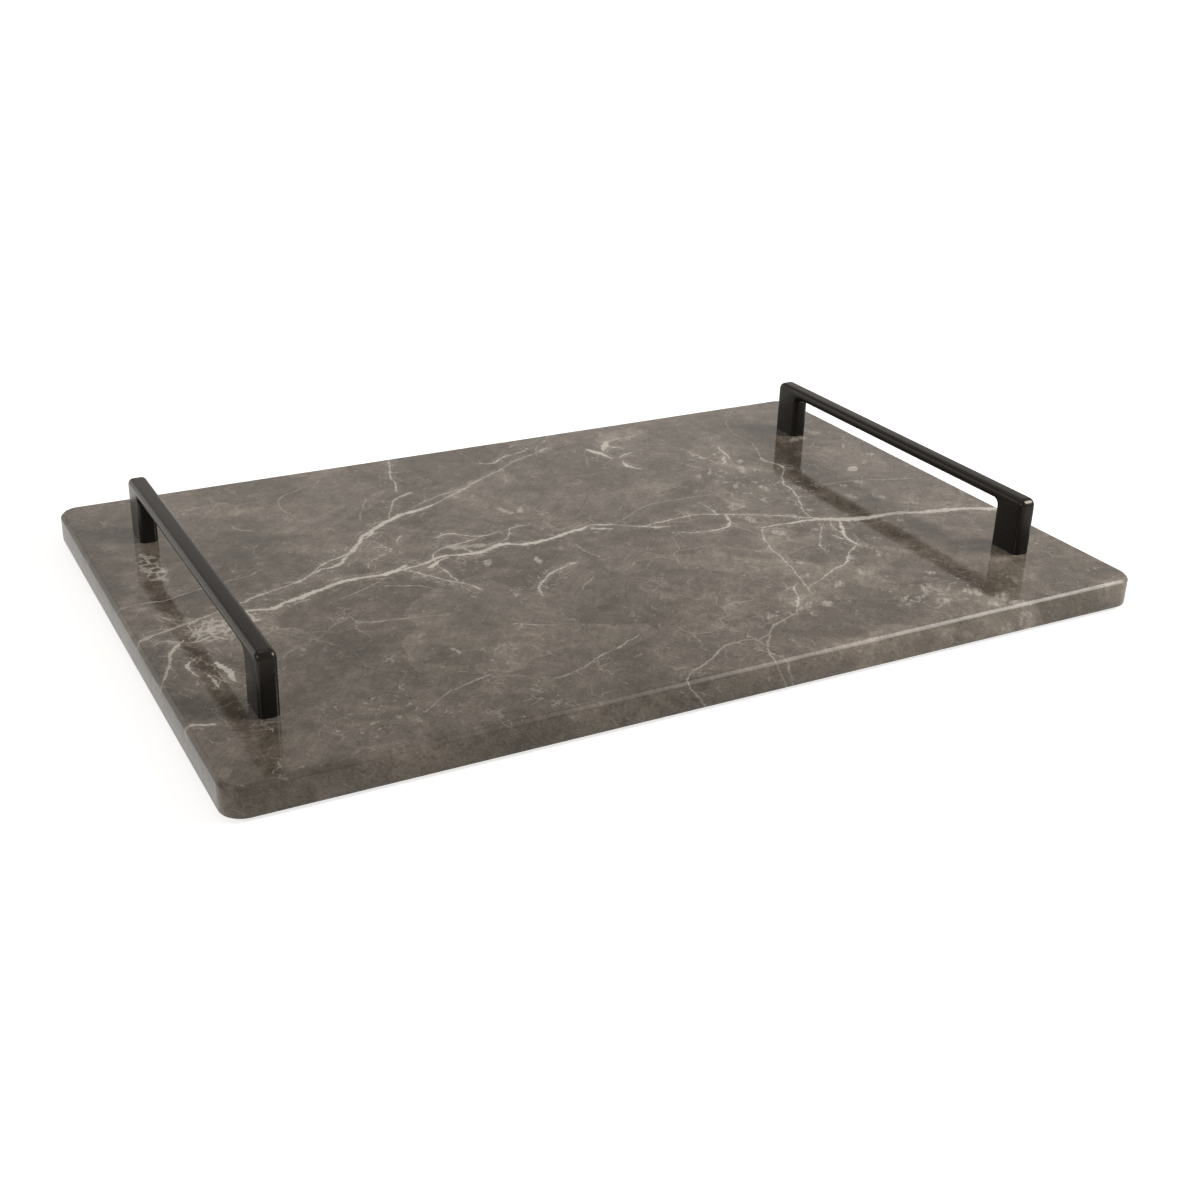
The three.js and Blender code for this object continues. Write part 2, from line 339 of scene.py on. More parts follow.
plain_veins = [
    [(-226, -19.6, 1.2), (-221, -16.6, 2.4), (-213, -13.2, 1.2), (-207, -11.6, 1.6), (-200, -9.4, 1.8),
     (-195, -7.4, 1.8), (-190, -5, 1.6), (-185, -2.6, 1.2), (-172, 1.4, 1.2), (-163, 6, 1.8), (-157, 7.8, 0.6),
     (-150, 10, 1.2), (-145, 11.5, 1.4), (-140.5, 13.2, 1.8), (-135, 17, 1.2), (-128, 21.4, 1)],
    [(-134, 18, 0.8), (-127, 24.6, 1), (-120, 29.4, 1.2)],
    [(-48, 75.4, 1), (-39.4, 80, 1.2), (-26, 88, 1.4), (-15, 95.6, 1.4), (-6, 101, 1.2), (5, 106.7, 1.2),
     (16, 114.6, 1), (25, 119.4, 1), (36, 123.5, 1.2), (42, 126.8, 2), (47, 130, 0.6)],
    [(35, 119.5, 0.4), (38, 126, 0.7), (41, 132, 0.7), (43.5, 135.5, 0.4)],
    [(48, 138, 0.5), (50.4, 140.6, 0.8), (53.4, 143.4, 0.6), (57, 150, 0.4)],
    [(-58, 77, 0.8), (-44, 84, 1), (-30, 89, 1.2), (-18, 91, 0.8)],
    [(13, 17.4, 1.2), (20, 15, 1.6), (27, 11.8, 1.2), (33, 7.6, 1), (40.6, 3, 1.4), (46, 0, 2.4), (52, -2, 0.8)],
    [(38, 4.4, 0.8), (50.6, 5.6, 1.3), (62.8, 6.7, 1.1), (73, 6.4, 1), (82, 2.8, 1.2), (90, -1, 1.2),
     (100, -6.5, 1), (117, -17, 1), (127, -24, 1)],
    [(94, -22, 0.9), (87, -35.6, 1.1), (82.8, -47.8, 1.1), (80.6, -61, 1), (78.3, -73, 1.1), (74, -87, 0.9),
     (70, -100, 0.6)],
    [(131, -29.5, 1), (127.4, -37, 1.2), (127, -46, 1)],
    [(120.6, -46, 0.8), (122.6, -50.4, 1.4), (125, -54.4, 1.2)],
    [(126, -30, 0.5), (115, -44, 0.7), (109, -52, 0.7), (106, -61, 0.5)],
    [(125.5, -61, 0.8), (118, -65, 1), (112.8, -70.6, 1.1), (105, -77.5, 1), (94, -82, 0.9), (85, -86.7, 1),
     (73, -93, 0.7)],
    [(72, -86, 0.7), (67, -90, 1), (63, -98, 1), (56, -108.5, 1.1), (51, -115, 0.7)],
    [(-43, 148, 0.7), (-47, 137, 0.9), (-52, 124, 0.9), (-54, 112, 1), (-57.5, 99, 0.8)],
    [(-75, 66, 0.6), (-69, 80, 0.9), (-62, 90.5, 1.4), (-51, 96.5, 1.6)],
    [(-91, 5, 0.8), (-84, -6, 1.3), (-77, -16, 1.2), (-70.5, -23, 1.1), (-67.5, -30.5, 0.8)],
    [(-75, 5, 0.8), (-74.5, -8, 1), (-73.5, -20, 0.8)],
    [(82, 20, 0.7), (83, 11, 0.9), (82, 2, 1)],
    [(74, -15, 0.8), (79, -13.6, 1.4), (84, -6.5, 1.6), (86, 1, 1.2)],
    [(48, -8.5, 0.9), (58, -12.6, 0.9), (68, -15.4, 1.1), (79, -14, 1.2)],
    [(-63, 34.6, 0.9), (-55, 36.4, 1.4), (-49, 32.6, 1.1), (-43, 27.2, 1.4), (-31, 29, 0.9)],
    [(-36, 18.4, 0.6), (-32.6, 17.6, 1.4), (-29, 21.8, 0.8), (-25, 28, 0.8), (-21.6, 30.6, 1.4),
     (-14.5, 30.6, 1.2)],
    [(-75, 9, 0.8), (-70, 17.5, 1.1), (-62, 21.5, 1.6), (-54, 22.6, 1.2), (-43, 25.5, 0.8)],
    [(-83, 34, 0.5), (-81.4, 39.4, 1), (-78, 43.2, 1.2), (-77, 44, 0.4)],
    [(-56.4, 18, 1), (-54.8, 14, 1.6), (-53.8, 10.4, 1.2)],
    [(-209, 2.4, 0.5), (-206, -3.6, 0.9), (-204, -9.6, 0.6)],
    [(-209, 2.4, 0.5), (-203.6, -3.4, 0.9), (-199, -6.4, 0.6)],
    [(-164, 1.6, 0.4), (-158, -1, 0.6), (-153, -4.4, 0.4)],
    [(-199, -9.6, 1), (-200.4, -15, 1.6), (-199, -20.4, 1.2)],
    [(-193, -11, 1), (-196.4, -17, 1.8), (-198.4, -22.6, 1.4), (-202, -27.6, 1.6)],
    [(-189.6, -9.6, 0.8), (-192.6, -17, 1.4), (-192.6, -25, 2), (-187.6, -32, 1.2)],
    [(-206, -27, 0.8), (-199, -27.2, 2.2), (-193, -25, 1.6), (-187, -21, 1)],
    [(-173.6, -9, 2), (-172.4, -14, 1.6), (-173, -19.6, 0.8)],
    [(-206, -25, 1.4), (-213.5, -33, 1.7), (-216.7, -43, 1.4), (-219.4, -50, 1.5), (-226, -60, 1.3)],
    [(-219, -24.5, 1), (-214, -21.8, 1.3), (-207.5, -25.6, 1.2)],
    [(-206, -43.5, 1), (-210.4, -48, 1.6), (-210.6, -54, 1.5), (-208.6, -60, 1)],
    [(-205.4, -57.5, 0.9), (-204, -65, 1.4), (-203.8, -72, 0.8)],
    [(-1, 122, 0.8), (8, 119.6, 1.2), (15, 124.6, 1), (25, 128, 0.9), (35, 132.6, 1.2), (34.4, 138, 0.6)],
    [(-45, -49, 1.2), (-41, -39, 1.4), (-35, -32, 1.1), (-29, -27, 1.2), (-21, -24, 0.7), (-12, -21, 0.6)],
    [(76, 97, 0.6), (79, 99.8, 1.4), (84, 101.5, 1.6), (89, 102.2, 0.5)],
    [(97, 121.6, 0.6), (99, 125, 1.2), (102.4, 127, 1.2), (107, 126.4, 0.4)],
    [(126, 64.6, 0.8), (128.4, 67.4, 1.8), (130, 72, 1.6), (132, 75, 0.6)],
    [(133.6, 71, 1), (135.6, 76.6, 1.6), (136.6, 84.6, 1.8), (139.4, 92.6, 0.5)],
    [(151, 65, 0.8), (149.6, 61, 1.6), (152.4, 54, 1.8), (154, 46, 1.4), (147.6, 38, 0.9), (142, 30, 0.9),
     (139.6, 24, 1), (138.8, 17, 1), (135.4, 6, 1), (130.4, -4, 1), (126.6, -12, 1), (124.8, -24, 0.9)],
    [(-95, 47, 0.6), (-91.5, 39, 0.8), (-88, 30, 0.8)],
    [(-87.4, 29.6, 0.8), (-94, 26, 0.8), (-102, 21, 0.9), (-106.5, 14, 0.6)],
    [(-227, -97, 1.4), (-219, -98.8, 1.8), (-213, -101, 0.8)],
]
faint_veins = [
    [(168, 128, 0.7), (161.5, 116, 0.8), (159.6, 103, 0.6), (160, 88, 0.8), (156, 77, 0.7), (151, 65, 0.9)],
    [(51, -114, 0.8), (43, -117, 0.8), (36, -119.5, 0.9), (28, -126, 0.9), (21.5, -128, 0.8), (14, -126.6, 0.9),
     (5, -128, 0.8), (-4, -133.4, 0.9), (-12, -138, 0.8), (-20, -141.4, 0.9), (-29, -151, 0.8)],
    [(29, -126, 0.7), (24.5, -132, 0.9), (19.6, -138.5, 0.9), (16, -150, 0.9)],
    [(14.5, -135.5, 0.8), (19, -141.5, 0.8), (21.5, -150, 0.7)],
    [(-89, 134, 0.8), (-93.5, 129, 1), (-101, 126.4, 0.9), (-107, 123, 0.9), (-114, 119.6, 0.9),
     (-118.5, 113, 0.9), (-120.4, 104, 0.9), (-119.6, 95, 0.8), (-117.6, 88, 0.7)],
    [(-151, 91, 0.8), (-148, 84.5, 1), (-142.5, 80.6, 0.8)],
    [(-226, 17, 0.9), (-214, 19.4, 1), (-200.6, 19, 0.9), (-193, 22, 0.8), (-183, 24.4, 0.7)],
    [(-173, 27, 0.7), (-163, 28, 0.8), (-152, 33.4, 0.6)],
    [(34, 16.5, 0.7), (43, 22, 0.8), (56, 28.6, 0.9), (68, 29.4, 0.8), (90, 28, 0.6), (110, 26, 0.5)],
    [(151, 17, 0.8), (164, 14.4, 1), (176, 13, 1), (186, 10.6, 0.9), (198, 6.2, 0.9), (210, 2, 0.7)],
    [(-103, 0, 0.7), (-112, -5, 0.9), (-120, -9, 0.9), (-131, -13, 0.7)],
    [(-107, -8, 0.6), (-97, -12.8, 0.8), (-91.5, -15.6, 0.8), (-87, -21, 0.6)],
    [(-132, -38, 0.6), (-123, -42, 0.8), (-113, -44, 0.8), (-92, -48.4, 0.5)],
    [(-135, -127, 0.6), (-125, -118, 0.8), (-114, -113, 0.9), (-99, -108.4, 0.6)],
    [(-76, -123, 0.6), (-64, -121, 0.7), (-51, -114, 0.9), (-37, -109, 0.8), (-25, -102.6, 0.6)],
    [(-70, -69, 0.7), (-60, -75, 0.8), (-51, -80, 0.6)],
    [(-3, -2, 0.8), (-2.4, -11, 0.9), (1, -21, 0.6)],
    [(-25, -50, 0.7), (-19, -44.6, 0.8), (-13, -40, 0.7)],
    [(-76, 96.4, 0.6), (-82, 87, 0.8), (-88.4, 72, 0.6)],
    [(104, 126.6, 0.6), (96, 126, 0.7), (86, 125, 0.8)],
    [(27, 139, 0.7), (34, 141, 0.9), (40, 137, 0.7)],
    [(5, 104, 0.6), (4.4, 95, 0.7), (-1, 86, 0.5)],
]

# Spots and patches on the top face: (x, y, length, width, angle in degrees).
pale_spots = [
    (126, 24, 5.6, 8, -10), (143, 17, 5, 7, 0), (168, 8.6, 6, 8, -30), (178.6, 9.6, 8, 4.4, -25),
    (116, 8, 4.4, 11, -20), (111, 40, 7, 3, 50), (115, 34, 11, 3.4, 48), (103.5, 54.5, 9, 2.8, 50),
    (113, 57.5, 13, 2.6, 55), (119, 53, 9, 2.4, 58), (130, 52.5, 15, 5, 60), (137, 50.5, 7, 3.6, 65),
    (137.5, 64.5, 7, 4, 50), (120, 78, 5, 7, 0), (201, 34, 12, 3.4, 55), (98, 8, 16, 10, 25), (94, -11, 6, 13, 10),
    (101, -7, 8, 4, -30), (117, -15, 10, 4, -25), (98, -31, 9, 11, 20), (175.5, -12, 6, 12, 20),
    (162, -6, 5, 9, 15), (157, -41, 4, 3, 0), (165, -44, 6, 4, 20), (185, -26, 14, 4, -25), (205, 88, 7, 6, 0),
    (190, 84, 18, 9, 20), (206, 62, 9, 3, 50), (212, 44, 5, 6, 0), (121, -131.5, 11, 10, -30),
    (121.5, -118, 14, 4.4, 62), (114, -124, 6, 5, 30), (107, -122, 8, 3, 35), (126, -76, 6, 4.6, 20),
    (113, -72, 7, 6, 50), (88, -96, 10, 4, 45), (86, -67, 6, 5, 0), (79.6, -80, 7, 5, 40),
    (62, -108.6, 9, 4.6, 45), (56, -111, 8, 3, 52), (70.3, -111, 7.5, 6.6, 0), (38.6, -112, 9, 6.6, 20),
    (44.4, -108.4, 5, 4, 0), (58, -118, 3, 5, 0), (136.5, -103.6, 5, 7, 40), (147, -141, 24, 9, 30),
    (152, -147, 14, 5, 0), (141, -129, 10, 13, 20), (106, -88, 4, 11, -25), (45.5, -0.4, 8, 4, 0),
    (-198, 43, 6, 11, 15), (-203, 55, 4, 10, -10), (-199.4, 70, 5, 11, 5), (-29, -11, 4, 8, -15),
    (-54.6, -43, 5, 6, 0), (5, -65, 9, 3, 45), (-103, -83, 3, 9, 10),
]
bright_spots = [
    (-16.8, 53, 14, 4.4, -72), (-8.4, 51, 11, 4, 62), (-58, 19.4, 14, 9, -10), (-49, 17, 16, 5, -14),
    (-52, -4, 10, 5, 60), (-29, -12, 9, 4, 78),
]
round_spots = [(188.6, 28.8, 10, 6.4, 40), (-220.6, -16.8, 4, 3, 30)]
# Paler patches of the ground tone. Those along the front edge at the right are painted light: they lighten the
# front face towards the right, where the light falls more strongly.
pale_patches_and_painted_light = [
    (-96, 92, 15, 11, 60), (-139, 108, 14, 9, 20), (-34, 99, 22, 13, 20), (98, 9, 13, 17, 10),
    (44, -18, 16, 32, 8), (122, -38, 16, 20, 0), (140, -72, 34, 20, 30), (128, -125, 32, 26, 0),
    (44, 128, 26, 12, 20), (78, 118, 20, 22, 30), (130, 58, 30, 44, 20), (60, -104, 40, 26, 35),
    (-184, -18, 34, 26, 0), (-50, -16, 20, 12, 0), (178, 84, 16, 10, 40), (160, -4, 40, 34, 0),
    (92, 133, 84, 20, 0), (50, -156, 110, 34, 0), (130, -157, 90, 28, 0), (202, -156, 90, 34, 0),
    (-70, 100, 26, 10, 25), (150, -140, 34, 18, 10), (28, -100, 34, 16, 30), (112, -92, 40, 14, 30),
]
# Darker patches of the ground tone. Those along the front edge at the left are painted shade that darkens the front
# face towards the left, and the patch just left of the left front post is a painted shadow of that post.
dark_patches_and_painted_shade = [
    (-130, 62, 50, 30, 0), (-58, 52, 34, 26, 20), (23, -78, 26, 8, 60), (78, -29, 13, 20, -5),
    (66, -45, 20, 22, 0), (-112, -86, 60, 30, 20), (-60, 120, 34, 20, 70), (-196, 120, 50, 40, 0),
    (-60, -140, 60, 18, 5), (10, 78, 40, 26, 15), (60, -134, 40, 20, 0), (-20, -70, 60, 20, 15),
    (150, -116, 24, 30, 20), (200, -125, 40, 24, 0), (172, -62, 26, 24, 0), (150, -60, 20, 16, 0),
    (95, -125, 26, 22, 0), (-130, -20, 34, 14, 10), (-200, -150, 90, 24, 0), (-120, -153, 110, 34, 0),
    (-40, -153, 80, 30, 0), (15, -50, 50, 36, 0), (100, -126, 50, 38, 0), (203, -128, 60, 48, 0),
    (-217, -85, 24, 40, 0), (-140, -58, 60, 48, 0),
]
fleck_areas = [(122, 66, 70, 76, 0), (128, 20, 90, 50, 0), (125, -122, 90, 50, 10), (-150, -120, 70, 40, 0)]
shattered_areas = [(-192, -19, 32, 34, 10), (-172, -14, 8, 24, 0), (-199, 55, 14, 50, 0)]

stone = bpy.data.node_groups.new("Tray marble", "ShaderNodeTree")
stone.interface.new_socket("Place", in_out="INPUT", socket_type="NodeSocketVector")
for output_name, kind in (("Stone", "Color"), ("Veining", "Float"), ("Grain", "Float")):
    stone.interface.new_socket(output_name, in_out="OUTPUT", socket_type=f"NodeSocket{kind}")
stone_place = add(stone, "NodeGroupInput").outputs["Place"]
millimetres = follow("ShaderNodeVectorMath", {0: stone_place, "Scale": 1 / MM}, operation="SCALE").outputs[0]

# The veins dip to one side as they go down into the stone.
dip_x, dip_y = 0.45, -0.3
depth = calc("SUBTRACT", follow("ShaderNodeSeparateXYZ", {0: millimetres}).outputs[2], slab_top)
vein_dip = follow("ShaderNodeCombineXYZ", {0: times(depth, dip_x), 1: times(depth, dip_y)}).outputs[0]
leaning = shift("ADD", millimetres, vein_dip)


def wobbled(place, scale, reach, detail):
    """Moves a place by up to a reach in millimetres, so that drawn lines turn ragged."""
    colour = cloud(leaning, scale, detail).node.outputs["Color"]
    sway = shift("SUBTRACT", colour, (0.5, 0.5, 0.5))
    return shift("ADD", place, shift("MULTIPLY", sway, (2 * reach, 2 * reach, 2 * reach)))


def drawn_out(degrees, stretch):
    """Places stretched along a direction, so that a noise there forms fibres."""
    return follow("ShaderNodeMapping", {
        "Vector": ragged, "Rotation": (0, 0, math.radians(degrees)), "Scale": stretch,
    }, vector_type="TEXTURE").outputs[0]


def crack_net(place, scale):
    """How far a point lies from the nearest crack in a net of them."""
    return follow("ShaderNodeTexVoronoi", {"Vector": place, "Scale": scale}, feature="DISTANCE_TO_EDGE").outputs[0]


def contour(field, level, wide, narrow):
    """A thin line along which a noise stands at a level."""
    return ease(calc("ABSOLUTE", calc("SUBTRACT", field, level)), wide, narrow)


ragged = wobbled(wobbled(leaning, 0.11, 1.4, 2), 0.5, 1.1, 4)
torn = wobbled(leaning, 0.24, 3, 4)
broad = wobbled(leaning, 0.03, 14, 4)
speck = cloud(leaning, 0.8, 4, 0.7)
patchy = cloud(leaning, 0.16, 4, 0.65)
fibre = cloud(drawn_out(20, (11, 1.25, 3.3)), 1.0, 3, 0.6)
streaks = cloud(drawn_out(52, (9, 1.3, 3)), 1.0, 5, 0.7)
mottle = cloud(torn, 0.13, 6, 0.7)

# Ground tone: broad clouds, tilted blocks of slightly different grey, a fine crystalline mottle, dark seams, and
# paler and darker patches that are partly painted light and shade.
broad_tone = cloud(broad, 0.016, 5, 0.6)
fine_tone = cloud(broad, 0.07, 8, 0.72)
blocks = follow("ShaderNodeTexVoronoi", {"Vector": broad, "Scale": 0.028})
block_tone = follow("ShaderNodeSeparateColor", {0: blocks.outputs["Color"]}).outputs[0]
seam = contour(cloud(ragged, 0.045, 5, 0.55), 0.5, 0.009, 0.001)
paler_and_lit = ease(plus(spots(broad, pale_patches_and_painted_light), swing(patchy, 0.9)), -0.1, 0.8)
darker_and_shaded = ease(plus(spots(broad, dark_patches_and_painted_shade), swing(patchy, 0.6)), 0.0, 0.8)
tone = plus(
    times(broad_tone, 0.42),
    calc("MULTIPLY_ADD", fine_tone, 0.62, -0.2),
    times(block_tone, 0.15),
    calc("MULTIPLY_ADD", speck, 0.36, -0.05),
    swing(streaks, 0.3),
    swing(mottle, 0.44),
    times(seam, patchy, -0.16),
    times(paler_and_lit, 0.13),
    times(darker_and_shaded, -0.09))
stone_ramp = follow("ShaderNodeValToRGB", {0: tone})
ramp_ends = stone_ramp.color_ramp.elements
ramp_ends[0].position, ramp_ends[0].color = 0.30, (0.046, 0.0387, 0.0318, 1)
ramp_ends[1].position, ramp_ends[1].color = 0.80, (0.226, 0.199, 0.170, 1)
for position, colour in (
        (0.46, (0.080, 0.068, 0.0565, 1)), (0.56, (0.109, 0.0937, 0.0785, 1)), (0.66, (0.146, 0.127, 0.107, 1))):
    stone_ramp.color_ramp.elements.new(position).color = colour
rosy, greenish = (1.0, 0.92, 0.87, 1), (0.93, 0.98, 0.94, 1)
tint = cloud(leaning, 0.035)
tinted = blend(ease(tint, 0.5, 0.75, 0, 0.5), stone_ramp.outputs[0], rosy, "MULTIPLY")
tinted = blend(ease(tint, 0.48, 0.3, 0, 0.7), tinted, greenish, "MULTIPLY")

# Hairlines: two nets of cracks and short strokes, healed pale, that come and go.
small_net = crack_net(ragged, 0.12)
net_shows = ease(cloud(leaning, 0.03, 2), 0.5, 0.68)
small_net_shows = ease(cloud(leaning, 0.05), 0.55, 0.7)
hairline = times(ease(crack_net(broad, 0.034), 0.018, 0.004), net_shows, 0.3)
crackle = times(ease(small_net, 0.06, 0.01), small_net_shows, 0.22)
stroke_shows = ease(cloud(leaning, 0.085, 3, 0.6), 0.53, 0.63)
stroke = times(contour(cloud(ragged, 0.055), 0.47, 0.011, 0.002), stroke_shows, 0.36)

# Veins: pale calcite, frayed along its grain, with loose strands and a haze beside the wide ones.
breakup = plus(swing(patchy, 1.5), swing(fibre, 2.4))
white_depth = plus(veins(ragged, white_veins), breakup)
plain_depth = plus(veins(ragged, plain_veins), calc("MULTIPLY_ADD", breakup, 0.7, -0.1))
faint_depth = plus(veins(ragged, faint_veins), times(breakup, 0.6))
white = ease(white_depth, -0.28, 0.32)
plain = times(ease(plain_depth, -0.26, 0.26), 0.82)
faint = times(ease(faint_depth, -0.3, 0.35), 0.44)
strand_shows = ease(cloud(leaning, 0.07, 2), 0.5, 0.62)
strand = times(contour(white_depth, -2.3, 0.55, 0.1), strand_shows, 0.5)
loose_shows = ease(cloud(leaning, 0.045), 0.5, 0.6)
loose = times(contour(white_depth, -4.6, 0.5, 0.1), loose_shows, 0.38)
main_depth = calc("MAXIMUM", white_depth, plain_depth)
haze = times(ease(main_depth, -4.0, 0.0), 0.1)
side_crack = times(ease(small_net, 0.055, 0.008), ease(main_depth, -9.0, -0.5), ease(patchy, 0.44, 0.6, 0, 0.5))

# Shell and coral in the stone: streaky ovals, bright ovals, whole shells, flecks, and areas broken to a net.
spot_depth = plus(spots(torn, pale_spots), swing(patchy, 1.4))
fossil = times(ease(spot_depth, 0.0, 0.5), ease(streaks, 0.36, 0.62, 0.12, 0.62))
bright_depth = plus(spots(torn, bright_spots), swing(fibre, 1.6))
bright = times(ease(bright_depth, -0.1, 0.5), 0.58)
shell = times(ease(spots(ragged, round_spots), 0.0, 0.3), 0.85)
fleck_zone = ease(spots(torn, fleck_areas), 0.0, 0.6)
fleck_noise = calc("MULTIPLY_ADD", fleck_zone, 0.09, cloud(torn, 0.28, 3, 0.6))
fleck = times(ease(fleck_noise, 0.66, 0.74), 0.4)
shatter_zone = ease(spots(ragged, shattered_areas), 0.05, 0.5)
shatter_net = calc("SUBTRACT", crack_net(ragged, 0.2), swing(patchy, 0.4))
shattered = times(ease(shatter_net, 0.16, 0.02), shatter_zone, 0.75)

veining = layered(
    "MAXIMUM", white, plain, faint, fossil, bright, shell, shattered, strand, fleck, hairline, crackle,
    haze, stroke, loose, side_crack)
vein_colour = blend(ease(patchy, 0.35, 0.65), (0.32, 0.302, 0.27, 1), (0.43, 0.41, 0.375, 1))
follow("NodeGroupOutput", {"Stone": blend(veining, tinted, vein_colour), "Veining": veining, "Grain": speck})


def finish_material(name):
    """A new material with its Principled shader and its Object coordinates."""
    material = bpy.data.materials.new(name)
    material.use_nodes = True
    tree = material.node_tree
    return material, tree.nodes["Principled BSDF"], add(tree, "ShaderNodeTexCoord").outputs["Object"]


def relief_normal(height, relief):
    """The normal of a fine relief whose depth is in millimetres."""
    return follow("ShaderNodeBump", {"Strength": 1.0, "Distance": relief * MM, "Height": height}).outputs[0]


def marble_finish(name, paleness, pale_colour, speckle, roughness, relief, specular):
    """The marble under one surface finish: how far grinding has whitened it, its speckle, gloss and relief."""
    material, shader, place = finish_material(name)
    rock = add(material.node_tree, "ShaderNodeGroup", node_tree=stone)
    feed(rock, {"Place": place})
    grit = cloud(place, 1400, 3, 0.7)
    wear = cloud(place, 170, 4, 0.65)
    mixed_wear = calc("MULTIPLY_ADD", rock.outputs["Grain"], 0.3, times(grit, 0.3))
    mixed_wear = calc("MULTIPLY_ADD", wear, 0.4, mixed_wear)
    dust = ease(mixed_wear, 0.34, 0.66, paleness - speckle, paleness + speckle)
    gloss = calc("MULTIPLY_ADD", rock.outputs["Grain"], roughness * 0.4, roughness * 0.8)
    feed(shader, {
        "Base Color": blend(dust, rock.outputs["Stone"], pale_colour),
        "Roughness": calc("MULTIPLY_ADD", rock.outputs["Veining"], 0.03, gloss),
        "Specular IOR Level": specular,
        "Normal": relief_normal(grit, relief)})
    return material


polished_marble = marble_finish(
    "Polished marble", paleness=0.0, pale_colour=(0.2, 0.17, 0.14, 1), speckle=0.02,
    roughness=0.08, relief=0.0006, specular=0.5)
ground_marble = marble_finish(
    "Ground marble chamfer", paleness=0.16, pale_colour=(0.07, 0.062, 0.052, 1), speckle=0.3,
    roughness=0.4, relief=0.03, specular=0.34)
honed_marble = marble_finish(
    "Honed marble edge", paleness=0.12, pale_colour=(0.24, 0.222, 0.195, 1), speckle=0.2,
    roughness=0.3, relief=0.006, specular=0.45)
feed(honed_marble.node_tree.nodes["Principled BSDF"], {"Specular Tint": (1, 0.94, 0.85, 1)})
sawn_marble = marble_finish(
    "Sawn marble underside", paleness=0.3, pale_colour=(0.34, 0.31, 0.27, 1), speckle=0.2,
    roughness=0.62, relief=0.03, specular=0.4)

slab = solid_piece(
    "marble_slab_dressed", slab_points, slab_faces, slab_finishes,
    [polished_marble, ground_marble, honed_marble, sawn_marble], sharp_degrees=32)
for polygon in slab.data.polygons[first_cap:]:
    polygon.use_smooth = False
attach(slab, "root")
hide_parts("marble_slab")


# Bar handles.
# Two one-piece die-cast pulls, each a flat rail on two square posts with softly rounded edges, powder
# coated in satin black. Each stands across a short end of the slab and is pulled down by two screws.

handle_height, handle_width = 28.8, 9
rail_thickness, post_length = 5.7, 18.7
handle_end_radius, finger_gap_fillet, handle_edge_rounding = 4, 3, 2.6


def quarter_turn(steps):
    return [math.pi / 2 * step / steps for step in range(steps + 1)]


def handle_outline(inset, steps=10):
    """The handle seen along X, drawn in by an inset all round except at the flat feet: (y, z) from the foot."""
    outer = screw_spacing_y / 2 + post_length / 2 - inset
    inner = screw_spacing_y / 2 - post_length / 2 + inset
    half, under = [(outer, 0)], [(inner, 0)]
    for path, reach, top, radius in (
            (half, outer, handle_height - inset, handle_end_radius - inset),
            (under, inner, handle_height - rail_thickness + inset, finger_gap_fillet + inset)):
        for angle in quarter_turn(steps):
            path.append((reach - radius + radius * math.cos(angle), top - radius + radius * math.sin(angle)))
    mirrored = [(-y, z) for y, z in half[::-1]]
    return half + mirrored + [(-y, z) for y, z in under] + under[::-1]


def handle_mesh(centre_x, steps=8):
    """One handle as slices along X, which draw in towards its two rounded sides."""
    flat_half = handle_width / 2 - handle_edge_rounding
    slices = [
        (-flat_half - handle_edge_rounding * math.cos(angle), handle_edge_rounding * (1 - math.sin(angle)))
        for angle in quarter_turn(steps)]
    slices += [(-x, inset) for x, inset in slices[::-1]]
    points, faces = [], []
    for x, inset in slices:
        points += [(centre_x + x, y, slab_top + z) for y, z in handle_outline(inset)]
    count = len(handle_outline(0))
    for k in range(len(slices) - 1):
        for i in range(count):
            j = (i + 1) % count
            faces.append((k * count + i, k * count + j, (k + 1) * count + j, (k + 1) * count + i))
    faces.append(tuple(range(count))[::-1])
    faces.append(tuple((len(slices) - 1) * count + i for i in range(count)))
    return points, faces


black_coating, coat_shader, coat_place = finish_material("Satin black powder coating")
orange_peel = cloud(coat_place, 900, 2, 0.5)
coat_grain = cloud(coat_place, 3500, 2, 0.6)
coat_height = calc("MULTIPLY_ADD", coat_grain, 0.35, orange_peel)
feed(coat_shader, {
    "Base Color": blend(coat_grain, (0.0035, 0.0034, 0.0032, 1), (0.008, 0.0077, 0.0073, 1)),
    "Roughness": calc("MULTIPLY_ADD", orange_peel, 0.12, 0.2),
    "Specular IOR Level": 0.3,
    "Specular Tint": (1, 0.9, 0.78, 1),
    "Normal": relief_normal(coat_height, relief=0.006)})

for end, side in (("left", -1), ("right", 1)):
    points, faces = handle_mesh(side * screw_spacing_x / 2)
    handle = solid_piece(f"bar_handle_{end}", points, faces, [0] * len(faces), [black_coating], sharp_degrees=40)
    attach(handle, "root")
    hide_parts(f"handle_{end}")


# Screw washers.
# Four flat stamped rings of zinc-plated steel. Each lies against the end of its counterbore, so that the
# screw's head doesn't bear on the bare stone.

washer_thickness = 0.8
washer_level = slab_bottom + counterbore_depth - washer_thickness
washer_sizes = {
    "Spacing X": screw_spacing_x, "Spacing Y": screw_spacing_y, "Level": washer_level,
    "Diameter": 9, "Bore": 4.5, "Thickness": washer_thickness}
corners = [f"{end}_{side}" for end in ("left", "right") for side in ("front", "back")]


def set_tree(name, sizes):
    """An empty geometry tree with one named input for each size in metres, and one for the finish."""
    tree = bpy.data.node_groups.new(name, "GeometryNodeTree")
    for size_name in sizes:
        tree.interface.new_socket(size_name, in_out="INPUT", socket_type="NodeSocketFloat")
    tree.interface.new_socket("Finish", in_out="INPUT", socket_type="NodeSocketMaterial")
    tree.interface.new_socket("Set", in_out="OUTPUT", socket_type="NodeSocketGeometry")
    return tree, add(tree, "NodeGroupInput").outputs


